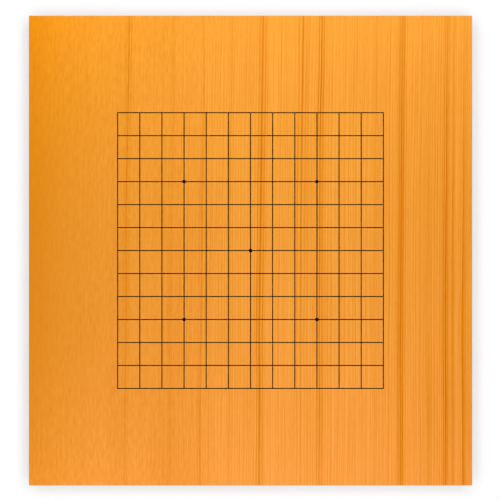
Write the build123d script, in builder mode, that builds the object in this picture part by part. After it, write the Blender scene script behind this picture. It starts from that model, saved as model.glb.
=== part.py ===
"""Reversible weiqi board: an engineered core with solid edges, a veneer and a printed grid on each face.

X runs across the grain, Y along it and Z up, in millimetres. The origin is on the table, under the middle
of the board, which lies with the small grid up and the full grid down.
"""

import os

from build123d import *

# Printed grids. The pitch suits full-size stones, and is longer towards the players than across.
PITCH_ACROSS = 21.25
PITCH_ALONG = 22.05
FACE_LINES = 13
BACK_LINES = 19
STAR_LINE = 4  # star points stand on this line, counted in from each side of a grid
LINE_WIDTH = 1.0
STAR_DIAMETER = 3.6
INK_DEPTH = 0.1

# Bare wood between the outer line of the full grid and the edge of the board
SIDE_MARGIN = 21.5
END_MARGIN = 27.05

# Layers through the thickness
CORE_THICKNESS = 18.0
VENEER_THICKNESS = 1.0

# Solid strips that close the edges of the core, and the tongue that seats each strip
LIPPING_WIDTH = 8.0
TONGUE_DEPTH = 5.0
TONGUE_HEIGHT = 6.0
FLANK_CLEARANCE = 0.1  # glue room above and below the tongue
TIP_CLEARANCE = 0.5  # glue room past the end of the tongue

# Rounding of every outer edge and corner, sanded after the board is glued up
ARRIS_RADIUS = 0.8

# Sizes that follow from those above
most_lines = max(FACE_LINES, BACK_LINES)
board_width = (most_lines - 1) * PITCH_ACROSS + 2 * SIDE_MARGIN
board_length = (most_lines - 1) * PITCH_ALONG + 2 * END_MARGIN
core_width = board_width - 2 * LIPPING_WIDTH
core_length = board_length - 2 * LIPPING_WIDTH
core_bottom = VENEER_THICKNESS
core_top = core_bottom + CORE_THICKNESS
board_top = core_top + VENEER_THICKNESS
tongue_bottom = core_bottom + (CORE_THICKNESS - TONGUE_HEIGHT) / 2
groove_depth = TONGUE_DEPTH + TIP_CLEARANCE

# Places of the star points, in steps from the middle of the grid to the star line
FIVE_STARS = [(-1, -1), (1, -1), (0, 0), (-1, 1), (1, 1)]
NINE_STARS = [(across, along) for across in (-1, 0, 1) for along in (-1, 0, 1)]


def inset_corners(inset):
    """Return the plan corners of the board drawn in by an inset, from front left round to rear left."""
    x = board_width / 2 - inset
    y = board_length / 2 - inset
    return [(-x, -y), (x, -y), (x, y), (-x, y)]


def mitred_strip(side, outer_inset, inner_inset):
    """Return the plan points of one side's strip between two insets, mitred at both ends."""
    outer = inset_corners(outer_inset)
    inner = inset_corners(inner_inset)
    end = (side + 1) % len(outer)
    return [outer[side], outer[end], inner[end], inner[side]]


def star_places(lines, steps):
    """Return the plan points of a grid's star points."""
    pitches = (lines + 1) / 2 - STAR_LINE
    return [(i * pitches * PITCH_ACROSS, j * pitches * PITCH_ALONG) for i, j in steps]


os.makedirs("parts", exist_ok=True)

# The sanded outline that trims every piece which reaches the outside of the board
with BuildPart() as sanded_block:
    with BuildSketch():
        Rectangle(board_width, board_length)
    extrude(amount=board_top)
    fillet(sanded_block.edges(), ARRIS_RADIUS)

# Core panel, grooved all round its edge for the tongues
with BuildPart() as core_panel:
    with BuildSketch(Plane.XY.offset(core_bottom)):
        Rectangle(core_width, core_length)
    extrude(amount=CORE_THICKNESS)
    with BuildSketch(Plane.XY.offset(tongue_bottom - FLANK_CLEARANCE)):
        Rectangle(core_width, core_length)
        Rectangle(core_width - 2 * groove_depth, core_length - 2 * groove_depth, mode=Mode.SUBTRACT)
    extrude(amount=TONGUE_HEIGHT + 2 * FLANK_CLEARANCE, mode=Mode.SUBTRACT)
core_panel.part.label = "core_panel"
export_step(core_panel.part, "parts/core_panel.step")

# Lippings, mitred at the corners, with a tongue along the inner face of each
for side, place in enumerate(("front", "right", "rear", "left")):
    with BuildPart() as lipping:
        with BuildSketch(Plane.XY.offset(core_bottom)):
            Polygon(*mitred_strip(side, 0, LIPPING_WIDTH))
        extrude(amount=CORE_THICKNESS)
        with BuildSketch(Plane.XY.offset(tongue_bottom)):
            Polygon(*mitred_strip(side, LIPPING_WIDTH, LIPPING_WIDTH + TONGUE_DEPTH))
        extrude(amount=TONGUE_HEIGHT)
        add(sanded_block.part, mode=Mode.INTERSECT)
    lipping.part.label = f"lipping_{place}"
    export_step(lipping.part, f"parts/lipping_{place}.step")

# Each face's printed grid, and the veneer that the ink lies in, flush with the surface
for face, lines, steps, veneer_bottom, ink_bottom in (
    ("face", FACE_LINES, FIVE_STARS, core_top, board_top - INK_DEPTH),
    ("back", BACK_LINES, NINE_STARS, 0, 0),
):
    grid_width = (lines - 1) * PITCH_ACROSS + LINE_WIDTH
    grid_length = (lines - 1) * PITCH_ALONG + LINE_WIDTH
    stars = star_places(lines, steps)

    with BuildPart() as grid_lines:
        with BuildSketch(Plane.XY.offset(ink_bottom)):
            Rectangle(grid_width, grid_length)
            with GridLocations(PITCH_ACROSS, PITCH_ALONG, lines - 1, lines - 1):
                Rectangle(PITCH_ACROSS - LINE_WIDTH, PITCH_ALONG - LINE_WIDTH, mode=Mode.SUBTRACT)
            with Locations(*stars):
                Circle(STAR_DIAMETER / 2, mode=Mode.SUBTRACT)
        extrude(amount=INK_DEPTH)
    grid_lines.part.label = f"{face}_grid_lines"
    export_step(grid_lines.part, f"parts/{face}_grid_lines.step")

    with BuildPart() as star_points:
        with BuildSketch(Plane.XY.offset(ink_bottom)):
            with Locations(*stars):
                Circle(STAR_DIAMETER / 2)
        extrude(amount=INK_DEPTH)
    star_points.part.label = f"{face}_star_points"
    export_step(star_points.part, f"parts/{face}_star_points.step")

    with BuildPart() as veneer:
        with BuildSketch(Plane.XY.offset(veneer_bottom)):
            Rectangle(board_width, board_length)
        extrude(amount=VENEER_THICKNESS)
        add(sanded_block.part, mode=Mode.INTERSECT)
        # Room for the star points and the lines along the grain
        with BuildSketch(Plane.XY.offset(ink_bottom)):
            with Locations(*stars):
                Circle(STAR_DIAMETER / 2)
            with GridLocations(PITCH_ACROSS, 0, lines, 1):
                Rectangle(LINE_WIDTH, grid_length)
        extrude(amount=INK_DEPTH, mode=Mode.SUBTRACT)
        # Room for the lines across the grain
        with BuildSketch(Plane.XY.offset(ink_bottom)):
            with GridLocations(0, PITCH_ALONG, 1, lines):
                Rectangle(grid_width, LINE_WIDTH)
        extrude(amount=INK_DEPTH, mode=Mode.SUBTRACT)
    veneer.part.label = f"{face}_veneer"
    export_step(veneer.part, f"parts/{face}_veneer.step")
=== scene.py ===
"""Looks of a reversible weiqi board: lacquered softwood veneer with a printed grid on each face.

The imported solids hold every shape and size. This script gives each one its finish, and lays the board on
a pale sweep under soft light, seen from straight above with the small grid up.
"""

import logging
import math
from dataclasses import dataclass
from enum import Enum

import bpy
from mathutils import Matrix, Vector


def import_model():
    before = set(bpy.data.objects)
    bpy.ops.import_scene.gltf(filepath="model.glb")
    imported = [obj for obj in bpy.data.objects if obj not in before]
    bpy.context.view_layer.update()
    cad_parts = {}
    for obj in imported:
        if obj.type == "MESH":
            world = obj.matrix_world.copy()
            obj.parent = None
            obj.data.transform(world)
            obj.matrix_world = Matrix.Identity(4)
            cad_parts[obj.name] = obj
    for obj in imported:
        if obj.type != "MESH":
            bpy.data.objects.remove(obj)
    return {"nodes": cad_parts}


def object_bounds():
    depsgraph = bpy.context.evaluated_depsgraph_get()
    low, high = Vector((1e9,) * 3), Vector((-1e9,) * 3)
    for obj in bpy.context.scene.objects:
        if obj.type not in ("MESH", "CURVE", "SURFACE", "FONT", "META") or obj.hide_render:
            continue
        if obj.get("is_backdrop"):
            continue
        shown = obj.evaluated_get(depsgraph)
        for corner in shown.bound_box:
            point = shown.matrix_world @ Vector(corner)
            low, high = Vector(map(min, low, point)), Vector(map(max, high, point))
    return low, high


LOG = logging.getLogger("weiqi_board")

MM = 0.001

# Sockets of the colour form of Blender's mix node
MIX_SHARE, MIX_FROM, MIX_TO, MIX_COLOUR = 0, 6, 7, 2

# Turns a width at half depth into the reach of a bell curve
BELL = 2 * math.sqrt(math.log(2))

# Middle value of Blender's noise
NOISE_MIDDLE = 0.5

WHITE = (1.0, 1.0, 1.0, 1.0)


def linear(hex_colour: str) -> tuple[float, float, float, float]:
    """Turn an sRGB hex colour into linear light.

    Args:
        hex_colour: the colour as six hex digits after a hash.

    Returns:
        Linear red, green, blue and an alpha of one.
    """
    parts = [int(hex_colour[i:i + 2], 16) / 255 for i in (1, 3, 5)]
    return (*[c / 12.92 if c <= 0.04045 else ((c + 0.055) / 1.055) ** 2.4 for c in parts], 1.0)


def add_node(tree: bpy.types.NodeTree, kind: str, links: dict[str | int, object] | None = None,
             **settings: object) -> bpy.types.Node:
    """Add a node to a tree, set it up and wire its inputs.

    Args:
        tree: the node tree that takes the node.
        kind: Blender's name for the kind of node.
        links: for each input, by name or number, a node, a socket or a plain value.
        settings: properties of the node itself.

    Returns:
        The new node, whose first output is what links take from it.
    """
    node = tree.nodes.new(kind)
    for name, value in settings.items():
        setattr(node, name, value)
    for key, value in (links or {}).items():
        if isinstance(value, bpy.types.Node):
            tree.links.new(value.outputs[0], node.inputs[key])
        elif isinstance(value, bpy.types.NodeSocket):
            tree.links.new(value, node.inputs[key])
        else:
            node.inputs[key].default_value = value
    return node


def empty_material(name: str) -> tuple[bpy.types.Material, bpy.types.NodeTree]:
    """Make a material with no nodes.

    Args:
        name: the material's name.

    Returns:
        The material and its bare node tree.
    """
    material = bpy.data.materials.new(name)
    material.use_nodes = True
    material.node_tree.nodes.clear()
    return material, material.node_tree


def dress(node: bpy.types.Object, material: bpy.types.Material) -> None:
    """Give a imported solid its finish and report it.

    Args:
        node: the solid's object.
        material: its finish.
    """
    node.data.materials.clear()
    node.data.materials.append(material)
    LOG.info("%s: %s", node.name, material.name)


class Grain(Enum):
    """The way a piece's fibres run: the axis along them, then the axis across its years."""

    LEAF = ("Y", "X")
    SIDE_STRIP = ("Y", "Z")
    END_STRIP = ("X", "Z")


@dataclass(frozen=True)
class GrowthBand:
    """Heavy, dark latewood: one year, or a few side by side.

    Attributes:
        across: distance of its middle from the left edge of the leaf, in mm.
        width: its width at half its darkness, in mm.
        head: its darkness at the head of the leaf, where 1 is the colour of summer wood.
        foot: its darkness at the foot of the leaf.
        pitch: spacing of its years, in mm, or none for a single year.
    """

    across: float
    width: float
    head: float
    foot: float
    pitch: float = 0.0


# Share of a band's darkness that comes and goes with its years
BAND_COMB = 0.45

# Heavy years of the leaf on the small-grid face, from its left edge to its right. Those wider than 10 mm
# are no years but soft, deeper tones.
FACE_BANDS = (
    GrowthBand(3.0, 28.0, 0.22, 0.12),
    GrowthBand(84.5, 14.0, 0.03, 0.15),
    GrowthBand(93.4, 4.4, 0.72, 0.38, 2.6),
    GrowthBand(136.0, 3.2, 0.30, 0.22, 1.9),
    GrowthBand(140.0, 48.0, 0.04, 0.22),
    GrowthBand(165.5, 2.6, 0.15, 0.28),
    GrowthBand(192.5, 2.0, 0.20, 0.18),
    GrowthBand(222.3, 5.8, 0.78, 0.92, 2.9),
    GrowthBand(261.5, 8.0, 0.54, 0.0, 4.3),
    GrowthBand(279.2, 6.2, 0.90, 0.58, 2.5),
    GrowthBand(333.0, 8.5, 0.20, 0.16, 2.6),
    GrowthBand(357.0, 6.0, 0.70, 0.95, 2.4),
    GrowthBand(383.5, 5.0, 0.05, 0.52, 2.2),
    GrowthBand(395.0, 80.0, 0.02, 0.17),
    GrowthBand(400.0, 5.0, 0.62, 1.12, 2.1),
    GrowthBand(407.2, 2.0, 0.25, 0.45),
    GrowthBand(417.5, 2.4, 0.15, 0.70),
    GrowthBand(423.0, 16.0, 0.05, 0.18),
)

# Heavy years of the leaf on the other face, cut from deeper in the same log
BACK_BANDS = (
    GrowthBand(31.0, 5.0, 0.70, 0.80, 2.4),
    GrowthBand(58.0, 2.5, 0.40, 0.25),
    GrowthBand(88.0, 6.5, 0.95, 0.90, 2.7),
    GrowthBand(147.0, 5.0, 0.60, 0.70, 2.4),
    GrowthBand(171.0, 3.0, 0.35, 0.25),
    GrowthBand(236.0, 6.0, 0.85, 0.95, 2.9),
    GrowthBand(262.0, 2.5, 0.35, 0.40),
    GrowthBand(301.0, 4.0, 0.45, 0.35, 2.2),
    GrowthBand(352.0, 2.5, 0.30, 0.35),
)

# Place of the other face's leaf in the log's patterns
BACK_SHIFT = 31.7

# Painted shade along a leaf's sanded arris, where the surface turns from flat to upright
LEAF_ARRIS_SHADE = 0.8

# Reach of a heart that is too short to show, in mm
NO_HEART = 0.1


@dataclass(frozen=True)
class Mark:
    """A kind of small mark, drawn out along the grain.

    Attributes:
        width: its size across the grain, in mm.
        length: its size along the grain, in mm.
        layers: how many finer layers it has.
        plain: how much it darkens wood where no years show, over the whole span of the noise.
        lined: the same where the years show in full.
    """

    width: float
    length: float
    layers: float
    plain: float = 0.0
    lined: float = 0.0


# Fibres are drawn about three times their real width, and flecks twice, so that a photo's pixel shows them
FIBRES = Mark(0.9, 110.0, 3.0, 0.65, 0.80)
FLECKS = Mark(2.1, 10.0, 1.0, 0.90, 0.25)
TONE = Mark(50.0, 170.0, 2.0, 0.28, 0.22)

# How the years wander along the leaf, and how far aside, in mm
WANDER = Mark(40.0, 260.0, 2.0)
WANDER_REACH = 3.0


@dataclass(frozen=True)
class LacqueredSpruce:
    """Quarter-cut spruce, glued down, sanded and sprayed with satin amber lacquer.

    The cut lays the years side by side as straight lines, each pale where it grew in spring and dark where
    it grew in summer. The lacquer warms it all to orange and leaves an even, low sheen.

    Attributes:
        name: name of the material.
        grain: the way the fibres run.
        start: where the piece starts across its years, in mm.
        width: size of the piece across its years, in mm.
        length: size of the piece along the grain, in mm.
        bands: the heavy years, across the piece.
        shift: place of the piece in the log's patterns, so that no two pieces match.
        head, foot: colours of spring wood at either end of the piece.
        heart_head, heart_foot: the same at the deeper left side of a leaf.
        heart_reach: how far in from the left edge that deeper colour goes, in mm.
        middle: painted shade over all those colours half way along the piece, darker there than at the
            better lit ends.
        heart_middle: a further tint there, at that left side.
        late: colour of summer wood.
        lean_left, lean_right: how far the years lean over half the length at either edge, in mm.
        bow: how far they bow over half the length, in mm.
        year: width of an ordinary year, in mm.
        drift_pace: how fast good and bad years follow each other, in turns per mm: one in about 17 mm.
        drift_layers: how many finer layers that has.
        drift_reach: how many years they move the lines by.
        ripening: power by which a year darkens towards its summer.
        winter: share of a year at which its summer wood ends.
        plain: how far in from the left edge ordinary years don't show, in mm.
        lined: where they show in full, in mm.
        lines: darkness of an ordinary year's line.
        weakest: darkness of the weakest year's line, as a share of that.
        swell: how much darker all the years are half way along the piece, as a share.
        arris: painted shade along the sanded arris, where the surface turns from flat to upright.
        arris_turn: how far up the surface faces where that painted shade starts and where it is full, from
            1 to 0.
        roughness, roughness_span: gloss of the lacquer, and how far it strays either way over the fibres.
        relief, relief_share: height of the grain under the lacquer, in mm, and how much of it shows.
        ior: refraction of the lacquer.
    """

    name: str
    grain: Grain
    start: float
    width: float
    length: float
    bands: tuple[GrowthBand, ...] = ()
    shift: float = 0.0
    head: str = "#FFA83A"
    foot: str = "#FFA146"
    heart_head: str = "#F59500"
    heart_foot: str = "#F1932A"
    heart_reach: float = 240.0
    # Painted shade: a darker tint half way along the piece
    middle: str = "#F4F9F2"
    heart_middle: str = "#F4F1D6"
    late: str = "#DE8004"
    lean_left: float = 2.8
    lean_right: float = 1.0
    bow: float = 0.8
    year: float = 2.3
    drift_pace: float = 0.06
    drift_layers: float = 2.0
    drift_reach: float = 5.0
    ripening: float = 2.0
    winter: float = 0.85
    plain: float = 40.0
    lined: float = 210.0
    lines: float = 0.65
    weakest: float = 0.5
    swell: float = 0.5
    arris: float = 0.0
    arris_turn: tuple[float, float] = (0.97, 0.6)
    roughness: float = 0.18
    roughness_span: float = 0.05
    relief: float = 0.05
    relief_share: float = 0.15
    ior: float = 1.5

    def build(self) -> bpy.types.Material:
        """Make the material.

        Returns:
            The finished material.
        """
        material, tree = empty_material(self.name)
        place = add_node(tree, "ShaderNodeTexCoord")
        scaled = add_node(tree, "ShaderNodeVectorMath",
                          {0: place.outputs["Object"], "Scale": 1 / MM}, operation="SCALE")
        xyz = add_node(tree, "ShaderNodeSeparateXYZ", {0: scaled})
        along, side = [xyz.outputs[axis] for axis in self.grain.value]
        across = add_node(tree, "ShaderNodeMath", {0: side, 1: self.start}, operation="SUBTRACT")
        end = add_node(tree, "ShaderNodeMath", {0: along, 1: 2 / self.length}, operation="MULTIPLY")
        years = self.bent(tree, across, end, along)
        spot = add_node(tree, "ShaderNodeCombineXYZ", {"X": years, "Y": along})
        dark = self.heavy_years(tree, years, end, self.rings(tree, years))
        fibres = self.mark(tree, spot, FIBRES)
        for noise, mark in ((fibres, FIBRES), (self.mark(tree, spot, FLECKS), FLECKS),
                            (self.mark(tree, spot, TONE), TONE)):
            centred = add_node(tree, "ShaderNodeMath", {0: noise, 1: NOISE_MIDDLE}, operation="SUBTRACT")
            depth = add_node(tree, "ShaderNodeMapRange", {
                "Value": years, "From Min": self.plain, "From Max": self.lined,
                "To Min": mark.plain, "To Max": mark.lined})
            dark = add_node(tree, "ShaderNodeMath", {0: centred, 1: depth, 2: dark},
                            operation="MULTIPLY_ADD")
        # Painted shade along the arris, where the surface turns from flat to upright
        arris_shaded = self.with_arris_shade(tree, place, dark) if self.arris else dark
        rough = add_node(tree, "ShaderNodeMapRange", {
            "Value": fibres, "To Min": self.roughness - self.roughness_span,
            "To Max": self.roughness + self.roughness_span})
        bump = add_node(tree, "ShaderNodeBump", {
            "Height": dark, "Strength": self.relief_share, "Distance": self.relief * MM})
        shader = add_node(tree, "ShaderNodeBsdfPrincipled", {
            "Base Color": self.colour(tree, across, end, arris_shaded), "Roughness": rough, "Normal": bump,
            "IOR": self.ior})
        add_node(tree, "ShaderNodeOutputMaterial", {"Surface": shader})
        return material

    def mark(self, tree: bpy.types.NodeTree, spot: bpy.types.Node, mark: Mark) -> bpy.types.Node:
        """Spread marks of one kind over the piece.

        Args:
            tree: the material's nodes.
            spot: place across and along the grain, in mm.
            mark: the kind of mark.

        Returns:
            The marks as noise from 0 to 1.
        """
        drawn = add_node(tree, "ShaderNodeVectorMath", {
            0: spot, 1: (1 / mark.width, 1 / mark.length, 0.0), 2: (self.shift, self.shift, 0.0)},
            operation="MULTIPLY_ADD")
        return add_node(tree, "ShaderNodeTexNoise", {"Vector": drawn, "Scale": 1.0, "Detail": mark.layers},
                        noise_dimensions="2D")

    def bent(self, tree: bpy.types.NodeTree, across: bpy.types.Node, end: bpy.types.Node,
             along: bpy.types.NodeSocket) -> bpy.types.Node:
        """Bend the distance across the piece, so that the years lean, bow and wander along it.

        Args:
            tree: the material's nodes.
            across: distance from the left edge, in mm.
            end: place along the piece, from -1 at the foot to 1 at the head.
            along: the same in mm.

        Returns:
            The bent distance across, in mm.
        """
        turn = (self.lean_right - self.lean_left) / self.width
        lean = add_node(tree, "ShaderNodeMath", {0: across, 1: turn, 2: self.lean_left},
                        operation="MULTIPLY_ADD")
        curve = add_node(tree, "ShaderNodeMath", {0: end, 1: self.bow, 2: lean}, operation="MULTIPLY_ADD")
        aside = add_node(tree, "ShaderNodeMath", {0: curve, 1: end}, operation="MULTIPLY")
        straight = add_node(tree, "ShaderNodeMath", {0: across, 1: aside}, operation="SUBTRACT")
        spot = add_node(tree, "ShaderNodeCombineXYZ", {"X": straight, "Y": along})
        centred = add_node(tree, "ShaderNodeMath", {0: self.mark(tree, spot, WANDER), 1: NOISE_MIDDLE},
                           operation="SUBTRACT")
        return add_node(tree, "ShaderNodeMath", {0: centred, 1: WANDER_REACH, 2: straight},
                        operation="MULTIPLY_ADD")

    def rings(self, tree: bpy.types.NodeTree, years: bpy.types.Node) -> bpy.types.Node:
        """Draw the ordinary years: pale in spring, darker to summer, then pale again at once.

        Args:
            tree: the material's nodes.
            years: bent distance across the piece, in mm.

        Returns:
            How dark the years make each point.
        """
        drift = add_node(tree, "ShaderNodeTexNoise", {
            "W": years, "Scale": self.drift_pace, "Detail": self.drift_layers}, noise_dimensions="1D")
        count = add_node(tree, "ShaderNodeMath", {0: years, 1: 1 / self.year, 2: self.shift},
                         operation="MULTIPLY_ADD")
        uneven = add_node(tree, "ShaderNodeMath", {0: drift, 1: self.drift_reach, 2: count},
                          operation="MULTIPLY_ADD")
        season = add_node(tree, "ShaderNodeMath", {0: uneven}, operation="FRACT")
        number = add_node(tree, "ShaderNodeMath", {0: uneven}, operation="FLOOR")
        summer = add_node(tree, "ShaderNodeTexWhiteNoise", {"W": number}, noise_dimensions="1D")
        fall = add_node(tree, "ShaderNodeMapRange", {
            "Value": season, "From Min": self.winter, "From Max": 1.0, "To Min": 1.0, "To Max": 0.0},
            interpolation_type="SMOOTHSTEP")
        rise = add_node(tree, "ShaderNodeMath", {0: season, 1: self.ripening}, operation="POWER")
        line = add_node(tree, "ShaderNodeMath", {0: rise, 1: fall}, operation="MULTIPLY")
        strength = add_node(tree, "ShaderNodeMapRange", {"Value": summer, "To Min": self.weakest})
        uneven_line = add_node(tree, "ShaderNodeMath", {0: line, 1: strength}, operation="MULTIPLY")
        shown = add_node(tree, "ShaderNodeMapRange", {
            "Value": years, "From Min": self.plain, "From Max": self.lined, "To Max": self.lines})
        return add_node(tree, "ShaderNodeMath", {0: uneven_line, 1: shown}, operation="MULTIPLY")

    def heavy_years(self, tree: bpy.types.NodeTree, years: bpy.types.Node, end: bpy.types.Node,
                    dark: bpy.types.Node) -> bpy.types.Node:
        """Add the heavy years to the ordinary ones.

        Args:
            tree: the material's nodes.
            years: bent distance across the piece, in mm.
            end: place along the piece, from -1 at the foot to 1 at the head.
            dark: how dark the ordinary years make each point.

        Returns:
            How dark all the years make each point.
        """
        for band in self.bands:
            off = add_node(tree, "ShaderNodeMath", {0: years, 1: band.across}, operation="SUBTRACT")
            share = add_node(tree, "ShaderNodeMath", {0: off, 1: BELL / band.width}, operation="MULTIPLY")
            square = add_node(tree, "ShaderNodeMath", {0: share, 1: share}, operation="MULTIPLY")
            shape = add_node(tree, "ShaderNodeMath", {0: 1 / math.e, 1: square}, operation="POWER")
            if band.pitch:
                turns = add_node(tree, "ShaderNodeMath", {0: off, 1: math.tau / band.pitch},
                                 operation="MULTIPLY")
                wave = add_node(tree, "ShaderNodeMath", {0: turns}, operation="COSINE")
                comb = add_node(tree, "ShaderNodeMath", {0: wave, 1: BAND_COMB, 2: 1 - BAND_COMB},
                                operation="MULTIPLY_ADD")
                shape = add_node(tree, "ShaderNodeMath", {0: shape, 1: comb}, operation="MULTIPLY")
            depth = add_node(tree, "ShaderNodeMapRange", {
                "Value": end, "From Min": -1.0, "From Max": 1.0, "To Min": band.foot, "To Max": band.head})
            dark = add_node(tree, "ShaderNodeMath", {0: shape, 1: depth, 2: dark}, operation="MULTIPLY_ADD")
        to_ends = add_node(tree, "ShaderNodeMath", {0: end, 1: end}, operation="MULTIPLY")
        fuller = add_node(tree, "ShaderNodeMapRange", {
            "Value": to_ends, "To Min": 1 + self.swell, "To Max": 1.0})
        return add_node(tree, "ShaderNodeMath", {0: dark, 1: fuller}, operation="MULTIPLY")

    def with_arris_shade(self, tree: bpy.types.NodeTree, place: bpy.types.Node,
                   dark: bpy.types.Node) -> bpy.types.Node:
        """Paint shade on the sanded arris, where the surface turns from flat to upright.

        Args:
            tree: the material's nodes.
            place: the node with the surface's place and normal.
            dark: how dark the years and the marks make each point.

        Returns:
            The same with the painted arris shade.
        """
        facing = add_node(tree, "ShaderNodeSeparateXYZ", {0: place.outputs["Normal"]})
        flat = add_node(tree, "ShaderNodeMath", {0: facing.outputs["Z"]}, operation="ABSOLUTE")
        painted_arris_shade = add_node(tree, "ShaderNodeMapRange", {
            "Value": flat, "From Min": self.arris_turn[0], "From Max": self.arris_turn[1],
            "To Max": self.arris})
        return add_node(tree, "ShaderNodeMath", {0: dark, 1: painted_arris_shade}, operation="ADD")

    def colour(self, tree: bpy.types.NodeTree, across: bpy.types.Node, end: bpy.types.Node,
               dark: bpy.types.Node) -> bpy.types.NodeSocket:
        """Mix the wood's colour, with painted shade half way along the piece.

        Args:
            tree: the material's nodes.
            across: distance from the left edge, in mm.
            end: place along the piece, from -1 at the foot to 1 at the head.
            dark: how dark the years, the marks and the painted arris shade make each point.

        Returns:
            The colour.
        """
        to_head = add_node(tree, "ShaderNodeMapRange", {"Value": end, "From Min": -1.0, "From Max": 1.0})
        spring = add_node(tree, "ShaderNodeMix", {
            MIX_SHARE: to_head, MIX_FROM: linear(self.foot), MIX_TO: linear(self.head)}, data_type="RGBA")
        to_ends = add_node(tree, "ShaderNodeMath", {0: end, 1: end}, operation="MULTIPLY")
        half_way = add_node(tree, "ShaderNodeMapRange", {"Value": to_ends, "To Min": 1.0, "To Max": 0.0})
        heart_ends = add_node(tree, "ShaderNodeMix", {
            MIX_SHARE: to_head, MIX_FROM: linear(self.heart_foot), MIX_TO: linear(self.heart_head)},
            data_type="RGBA")
        heart = add_node(tree, "ShaderNodeMix", {
            MIX_SHARE: half_way, MIX_FROM: heart_ends.outputs[MIX_COLOUR],
            MIX_TO: linear(self.heart_middle)},
            data_type="RGBA", blend_type="MULTIPLY")
        near = add_node(tree, "ShaderNodeMapRange", {
            "Value": across, "From Max": self.heart_reach, "To Min": 1.0, "To Max": 0.0})
        nearer = add_node(tree, "ShaderNodeMath", {0: near, 1: near}, operation="MULTIPLY")
        warm = add_node(tree, "ShaderNodeMix", {
            MIX_SHARE: nearer, MIX_FROM: spring.outputs[MIX_COLOUR], MIX_TO: heart.outputs[MIX_COLOUR]},
            data_type="RGBA")
        # Painted shade: the colour darkens half way along the piece, as if less light fell there than at
        # the ends.
        middle_shaded = add_node(tree, "ShaderNodeMix", {
            MIX_SHARE: half_way, MIX_FROM: warm.outputs[MIX_COLOUR], MIX_TO: linear(self.middle)},
            data_type="RGBA", blend_type="MULTIPLY")
        mixed = add_node(tree, "ShaderNodeMix", {
            MIX_SHARE: dark, MIX_FROM: middle_shaded.outputs[MIX_COLOUR], MIX_TO: linear(self.late)},
            data_type="RGBA", clamp_factor=False)
        return mixed.outputs[MIX_COLOUR]


@dataclass(frozen=True)
class PrintingInk:
    """Brown-black screen ink, printed on bare wood and lacquered over.

    It is not quite opaque, so the wood's fibres show in it as faint warm streaks, and the lacquer gives it
    the same low sheen as the wood.

    Attributes:
        name: name of the material.
        full, thin: colours where the ink lies thick and where the wood warms it.
        streak: width and length of a streak, in mm.
        layers: how many finer layers the streaks have.
        roughness, roughness_span: gloss of the lacquer over it, and how far it strays either way.
        relief, relief_share: height of the streaks, in mm, and how much of it shows.
        ior: refraction of the lacquer.
    """

    name: str = "screen_ink_under_lacquer"
    full: str = "#060200"
    thin: str = "#1A0A00"
    streak: tuple[float, float] = (0.5, 9.0)
    layers: float = 3.0
    roughness: float = 0.18
    roughness_span: float = 0.06
    relief: float = 0.02
    relief_share: float = 0.1
    ior: float = 1.5

    def build(self) -> bpy.types.Material:
        """Make the material.

        Returns:
            The finished material.
        """
        material, tree = empty_material(self.name)
        place = add_node(tree, "ShaderNodeTexCoord")
        marks = add_node(tree, "ShaderNodeMapping", {
            "Vector": place.outputs["Object"],
            "Scale": (1 / (self.streak[0] * MM), 1 / (self.streak[1] * MM), 1.0)})
        streaks = add_node(tree, "ShaderNodeTexNoise", {
            "Vector": marks, "Scale": 1.0, "Detail": self.layers})
        mixed = add_node(tree, "ShaderNodeMix", {
            MIX_SHARE: streaks, MIX_FROM: linear(self.full), MIX_TO: linear(self.thin)}, data_type="RGBA")
        rough = add_node(tree, "ShaderNodeMapRange", {
            "Value": streaks, "To Min": self.roughness - self.roughness_span,
            "To Max": self.roughness + self.roughness_span})
        bump = add_node(tree, "ShaderNodeBump", {
            "Height": streaks, "Strength": self.relief_share, "Distance": self.relief * MM})
        shader = add_node(tree, "ShaderNodeBsdfPrincipled", {
            "Base Color": mixed.outputs[MIX_COLOUR], "Roughness": rough, "Normal": bump, "IOR": self.ior})
        add_node(tree, "ShaderNodeOutputMaterial", {"Surface": shader})
        return material


@dataclass(frozen=True)
class RawFibreboard:
    """Medium-density fibreboard, sawn and left raw inside the board.

    Pressed wood dust gives it an even, dull brown with fine pale and dark specks.

    Attributes:
        name: name of the material.
        dust, speck: colours of the dust and of its darker specks.
        speck_size: size of a speck, in mm.
        layers: how many finer layers the specks have.
        roughness, roughness_span: gloss of the sawn surface, and how far it strays either way.
        relief, relief_share: height of the specks, in mm, and how much of it shows.
    """

    name: str = "sawn_fibreboard"
    dust: str = "#B08A5E"
    speck: str = "#7E5C3A"
    speck_size: float = 0.6
    layers: float = 4.0
    roughness: float = 0.85
    roughness_span: float = 0.1
    relief: float = 0.1
    relief_share: float = 0.3

    def build(self) -> bpy.types.Material:
        """Make the material.

        Returns:
            The finished material.
        """
        material, tree = empty_material(self.name)
        place = add_node(tree, "ShaderNodeTexCoord")
        specks = add_node(tree, "ShaderNodeTexNoise", {
            "Vector": place.outputs["Object"], "Scale": 1 / (self.speck_size * MM), "Detail": self.layers})
        mixed = add_node(tree, "ShaderNodeMix", {
            MIX_SHARE: specks, MIX_FROM: linear(self.dust), MIX_TO: linear(self.speck)}, data_type="RGBA")
        rough = add_node(tree, "ShaderNodeMapRange", {
            "Value": specks, "To Min": self.roughness - self.roughness_span,
            "To Max": self.roughness + self.roughness_span})
        bump = add_node(tree, "ShaderNodeBump", {
            "Height": specks, "Strength": self.relief_share, "Distance": self.relief * MM})
        shader = add_node(tree, "ShaderNodeBsdfPrincipled", {
            "Base Color": mixed.outputs[MIX_COLOUR], "Roughness": rough, "Normal": bump})
        add_node(tree, "ShaderNodeOutputMaterial", {"Surface": shader})
        return material


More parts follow.
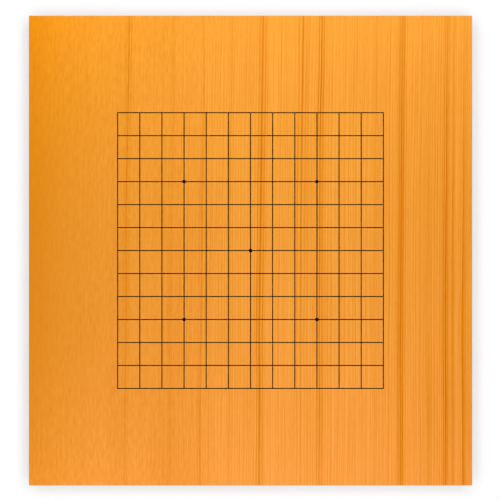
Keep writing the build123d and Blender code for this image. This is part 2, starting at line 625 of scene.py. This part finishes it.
def seen_directly(tree: bpy.types.NodeTree) -> bpy.types.Node:
    """Add nodes that tell the rays of the eye and of reflections from the rays that carry light.

    Args:
        tree: the tree that takes the nodes.

    Returns:
        One for a ray that the camera sees, straight on or in gloss or glass, and nothing for the rest.
    """
    path = add_node(tree, "ShaderNodeLightPath")
    gloss = add_node(tree, "ShaderNodeMath", {
        0: path.outputs["Is Camera Ray"], 1: path.outputs["Is Glossy Ray"]}, operation="MAXIMUM")
    return add_node(tree, "ShaderNodeMath", {
        0: gloss, 1: path.outputs["Is Transmission Ray"]}, operation="MAXIMUM")


@dataclass(frozen=True)
class PaperSweep:
    """Seamless pale background paper, matt, which takes the board's soft shadow.

    Attributes:
        name: name of the material.
        paper: colour of the paper.
        lift: cool glow that only the eye sees in it. Away from the board the two add up to white, and next
            to it they leave a grey shadow, where white paper would show the warm light off the wood.
        roughness: gloss of the paper.
    """

    name: str = "matt_paper_sweep"
    paper: str = "#E4CBC7"
    lift: str = "#76A6AD"
    roughness: float = 0.9

    def build(self) -> bpy.types.Material:
        """Make the material.

        Returns:
            The finished material.
        """
        material, tree = empty_material(self.name)
        shader = add_node(tree, "ShaderNodeBsdfPrincipled", {
            "Base Color": linear(self.paper), "Roughness": self.roughness, "Specular IOR Level": 0.0,
            "Emission Color": linear(self.lift), "Emission Strength": seen_directly(tree)})
        add_node(tree, "ShaderNodeOutputMaterial", {"Surface": shader})
        return material


@dataclass
class PrintedFace:
    """One face of the board: its veneer leaf and the grid and star points printed on it.

    Attributes:
        side: the word that the face's solids start with.
        leaf: finish of the veneer.
        ink: finish of the print.
    """

    side: str
    leaf: LacqueredSpruce
    ink: bpy.types.Material

    def dress(self, nodes: dict[str, bpy.types.Object]) -> None:
        """Give the face's solids their finishes.

        Args:
            nodes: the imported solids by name.
        """
        dress(nodes[f"{self.side}_veneer"], self.leaf.build())
        dress(nodes[f"{self.side}_grid_lines"], self.ink)
        dress(nodes[f"{self.side}_star_points"], self.ink)


@dataclass
class EdgedCore:
    """The core panel and the four solid strips that close its edges.

    Attributes:
        width: size of the board across the grain of its faces, in mm.
        length: size of the board along the grain of its faces, in mm.
        height: height of the board, in mm.
        shift: step from strip to strip in the log's patterns.
    """

    width: float
    length: float
    height: float
    shift: float = 7.3

    def dress(self, nodes: dict[str, bpy.types.Object]) -> None:
        """Give each strip its own cut of the wood, with the grain along it, and leave the core raw.

        Args:
            nodes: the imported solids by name.
        """
        places = (("front", Grain.END_STRIP), ("right", Grain.SIDE_STRIP),
                  ("rear", Grain.END_STRIP), ("left", Grain.SIDE_STRIP))
        for number, (place, grain) in enumerate(places, 1):
            dress(nodes[f"lipping_{place}"], self.strip_wood(place, grain, number).build())
        dress(nodes["core_panel"], RawFibreboard().build())

    def strip_wood(self, place: str, grain: Grain, number: int) -> LacqueredSpruce:
        """Choose the wood of one strip: even in colour, a shade deeper than the leaves, lined all over.

        Args:
            place: the side of the board that the strip closes.
            grain: the way its fibres run.
            number: its number round the board, from 1.

        Returns:
            The strip's finish.
        """
        return LacqueredSpruce(
            f"lacquered_spruce_lipping_{place}", grain, start=0.0, width=self.height,
            length=self.width if grain is Grain.END_STRIP else self.length, shift=self.shift * number,
            head="#EE9926", foot="#EE972A", heart_reach=NO_HEART, middle="#FFFFFF", late="#BF6D0B",
            lean_left=1.2, lean_right=1.2, bow=0.6, year=1.9, plain=-1.0, lined=0.0)


@dataclass(frozen=True)
class Softbox:
    """A long, soft strip lamp aimed at the middle of the board.

    Attributes:
        name: name of the lamp.
        azimuth: where it stands round the board, in degrees from the foot of the photo, turning right.
        elevation: how high it stands, in degrees.
        distance: how far it is, in metres.
        size: its width and height, in metres.
        level: its share of the plain level, at which a colour renders as it is written.
    """

    name: str
    azimuth: float
    elevation: float
    distance: float
    size: tuple[float, float]
    level: float

    def build(self) -> None:
        """Hang the lamp."""
        turn = math.radians(self.azimuth)
        rise = math.radians(self.elevation)
        away = Vector((math.sin(turn) * math.cos(rise), -math.cos(turn) * math.cos(rise), math.sin(rise)))
        lamp = bpy.data.lights.new(self.name, "AREA")
        lamp.shape = "RECTANGLE"
        lamp.size, lamp.size_y = self.size
        # The power at which a flat face under it shows its own colour times the level
        lamp.energy = self.level * math.pi ** 2 * self.distance ** 2 / math.sin(rise)
        box = bpy.data.objects.new(self.name, lamp)
        box.location = away * self.distance
        box.rotation_euler = away.to_track_quat("Z", "Y").to_euler()
        bpy.context.scene.collection.objects.link(box)
        LOG.info("%s: lamp", self.name)


# Weak strip lamps that brighten the two ends of the board, the head more than the foot
END_LAMPS = (
    Softbox("softbox_head", 180.0, 33.0, 0.55, (0.6, 0.12), 0.045),
    Softbox("softbox_foot", 0.0, 33.0, 0.55, (0.6, 0.12), 0.025),
)


@dataclass
class Studio:
    """The pale sweep, the light and the camera.

    Attributes:
        board_width: width of the board, in metres.
        board_top: height of its upper face, in metres.
        backdrop: where the white backdrop starts to dim and ends, as heights of a look up, from 0 to 1.
        ceiling: brightness of the ceiling over it.
        glow: brightness of the lit band, which gives the board its light.
        band: where that band starts, is full, starts to dim and ends, as heights of a look up.
        sweep: size of the paper, in metres.
        gap: room between the paper and the board, in metres.
        lens: focal length of the camera, in mm.
        photo: width of the photo, in pixels.
        board_pixels: width of the board in the photo, in pixels.
        middle: the middle of the board in the photo, in pixels from the left and from the top.
    """

    board_width: float
    board_top: float
    backdrop: tuple[float, float] = (0.08, 0.30)
    ceiling: float = 0.05
    glow: float = 3.10
    band: tuple[float, float, float, float] = (0.64, 0.79, 0.86, 0.96)
    sweep: float = 12.0
    gap: float = 0.0001
    lens: float = 100.0
    photo: float = 500.0
    board_pixels: float = 443.4
    middle: tuple[float, float] = (250.5, 250.55)

    def build(self) -> None:
        """Lay out the studio."""
        self.lay_sweep()
        self.light_room()
        for lamp in END_LAMPS:
            lamp.build()
        self.set_camera()

    def lay_sweep(self) -> None:
        """Lay the paper on the table, a hair below the board so that no two faces share a plane."""
        half = self.sweep / 2
        mesh = bpy.data.meshes.new("paper_sweep")
        mesh.from_pydata([(-half, -half, 0), (half, -half, 0), (half, half, 0), (-half, half, 0)], [],
                         [(0, 1, 2, 3)])
        mesh.materials.append(PaperSweep().build())
        paper = bpy.data.objects.new("paper_sweep", mesh)
        paper.location.z = -self.gap
        bpy.context.scene.collection.objects.link(paper)
        paper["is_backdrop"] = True
        LOG.info("%s: %s", paper.name, mesh.materials[0].name)

    def light_room(self) -> None:
        """Light the board from a high band all round, and show the eye and the gloss a white backdrop."""
        world = bpy.data.worlds.new("studio")
        world.use_nodes = True
        tree = world.node_tree
        tree.nodes.clear()
        place = add_node(tree, "ShaderNodeTexCoord")
        xyz = add_node(tree, "ShaderNodeSeparateXYZ", {0: place.outputs["Generated"]})
        height = xyz.outputs["Z"]
        backdrop = add_node(tree, "ShaderNodeMapRange", {
            "Value": height, "From Min": self.backdrop[0], "From Max": self.backdrop[1],
            "To Min": 1.0, "To Max": self.ceiling}, interpolation_type="SMOOTHSTEP")
        rise = add_node(tree, "ShaderNodeMapRange", {
            "Value": height, "From Min": self.band[0], "From Max": self.band[1],
            "To Min": self.ceiling, "To Max": self.glow}, interpolation_type="SMOOTHSTEP")
        fall = add_node(tree, "ShaderNodeMapRange", {
            "Value": height, "From Min": self.band[2], "From Max": self.band[3],
            "To Min": 1.0, "To Max": 0.0}, interpolation_type="SMOOTHSTEP")
        band = add_node(tree, "ShaderNodeMath", {0: rise, 1: fall}, operation="MULTIPLY")
        level = add_node(tree, "ShaderNodeMapRange", {
            "Value": seen_directly(tree), "To Min": band, "To Max": backdrop})
        path = add_node(tree, "ShaderNodeLightPath")
        shown = add_node(tree, "ShaderNodeMath", {0: level, 1: path.outputs["Is Camera Ray"]},
                         operation="MAXIMUM")
        sky = add_node(tree, "ShaderNodeBackground", {"Color": WHITE, "Strength": shown})
        add_node(tree, "ShaderNodeOutputWorld", {"Surface": sky})
        bpy.context.scene.world = world

    def set_camera(self) -> None:
        """Hang the camera straight above, so that the board fills as much of the frame as in the photo."""
        pixel = self.board_width / self.board_pixels
        data = bpy.data.cameras.new("camera")
        data.lens = self.lens
        reach = self.photo * pixel * self.lens / data.sensor_width
        camera = bpy.data.objects.new("camera", data)
        across, down = [place - self.photo / 2 for place in self.middle]
        camera.location = (-across * pixel, down * pixel, self.board_top + reach)
        bpy.context.scene.collection.objects.link(camera)
        bpy.context.scene.camera = camera


def main() -> None:
    """Dress the board, lay out the studio and report each piece."""
    logging.basicConfig(level=logging.INFO, format="%(message)s")
    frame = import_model()
    low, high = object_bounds()
    nodes = frame["nodes"]
    size = (high - low) / MM
    ink = PrintingInk().build()
    face_leaf = LacqueredSpruce("lacquered_spruce_face", Grain.LEAF, -size.x / 2, size.x, size.y,
                                FACE_BANDS, arris=LEAF_ARRIS_SHADE)
    back_leaf = LacqueredSpruce("lacquered_spruce_back", Grain.LEAF, -size.x / 2, size.x, size.y,
                                BACK_BANDS, BACK_SHIFT, arris=LEAF_ARRIS_SHADE)
    PrintedFace("face", face_leaf, ink).dress(nodes)
    PrintedFace("back", back_leaf, ink).dress(nodes)
    EdgedCore(size.x, size.y, size.z).dress(nodes)
    Studio(high.x - low.x, high.z).build()
    bpy.context.scene.view_settings.view_transform = "Standard"


if __name__ == "__main__":
    main()
